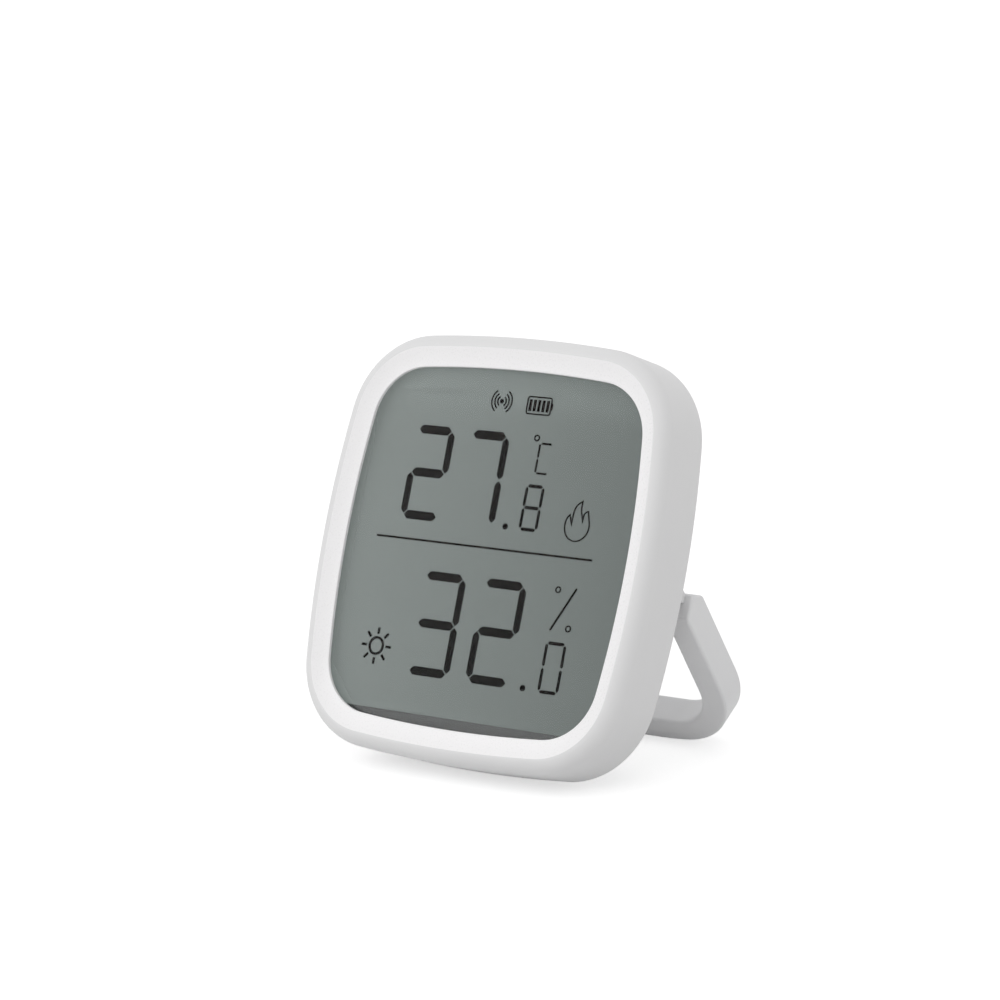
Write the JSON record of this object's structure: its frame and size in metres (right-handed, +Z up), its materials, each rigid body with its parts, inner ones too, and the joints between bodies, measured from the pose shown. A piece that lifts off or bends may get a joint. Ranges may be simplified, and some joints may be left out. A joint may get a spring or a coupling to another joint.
{
  "type": "temperature humidity sensor",
  "caption": "Desktop temperature and humidity sensor with a rounded square body, a segment display, a raised battery pod and a fold-out loop stand.",
  "frame": {"origin": "centre of the bounding box on the surface that the sensor stands on", "axes": "+Z up, +X to the right as the display is read, +Y from the display to the back"},
  "size_m": [0.0596, 0.04, 0.0607],
  "materials": {
    "shell": "satin white",
    "window": "clear",
    "tape": "black adhesive",
    "polariser": "grey film",
    "display_glass": "clear",
    "seal": "epoxy",
    "segments": "dark liquid crystal",
    "reflector": "grey-green reflector",
    "zebra": "matt",
    "frame": "matt grey",
    "board": "solder mask",
    "chip": "moulded",
    "module_board": "solder mask",
    "shield": "tinned",
    "capacitor": "ceramic",
    "sensor": "moulded",
    "membrane": "fine mesh",
    "plunger": "moulded",
    "cap": "satin white",
    "contact": "plated",
    "cell": "polished",
    "door": "satin white",
    "stand": "satin white",
    "steel": "plain"
  },
  "bodies": {
    "housing": {"front_shell": "shell", "display_window": "window", "window_tape": "tape", "front_polariser": "polariser", "lcd_front_glass": "display_glass", "lcd_seal": "seal", "lcd_segments": "segments", "lcd_rear_glass": "display_glass", "rear_polariser": "reflector", "zebra_strip": "zebra", "lcd_frame": "frame", "main_board": "board", "controller_chip": "chip", "radio_module": "module_board", "radio_shield": "shield", "crystal": "shield", "chip_capacitors": "capacitor", "sensor_chip": "sensor", "vent_membrane": "membrane", "tactile_switch": "chip", "positive_contact": "contact", "negative_contact": "contact", "coin_cell": "cell", "rear_cover": "shell", "hinge_pins": "steel", "case_screws": "steel", "board_screws": "steel"},
    "loop_stand": {"stand": "stand"},
    "pairing_button": {"button_cap": "cap", "switch_plunger": "plunger"},
    "door": {"battery_door": "door"}
  },
  "joints": [
    {"name": "stand_fold", "type": "hinge", "parent": "housing", "child": "loop_stand", "pos_m": [0, 0.00415, 0.02263], "axis": [-1, 0, 0], "range_deg": [0, 53.5]},
    {"name": "button_press", "type": "slide", "parent": "housing", "child": "pairing_button", "axis": [0, -0.9252, 0.3795], "range_m": [0, 0.0005], "stiffness_N_per_m": 600},
    {"name": "door_turn", "type": "hinge", "parent": "housing", "child": "door", "pos_m": [0, 0.00606, 0.01991], "axis": [0, 0.9252, -0.3795], "range_deg": [0, 40]}
  ]
}
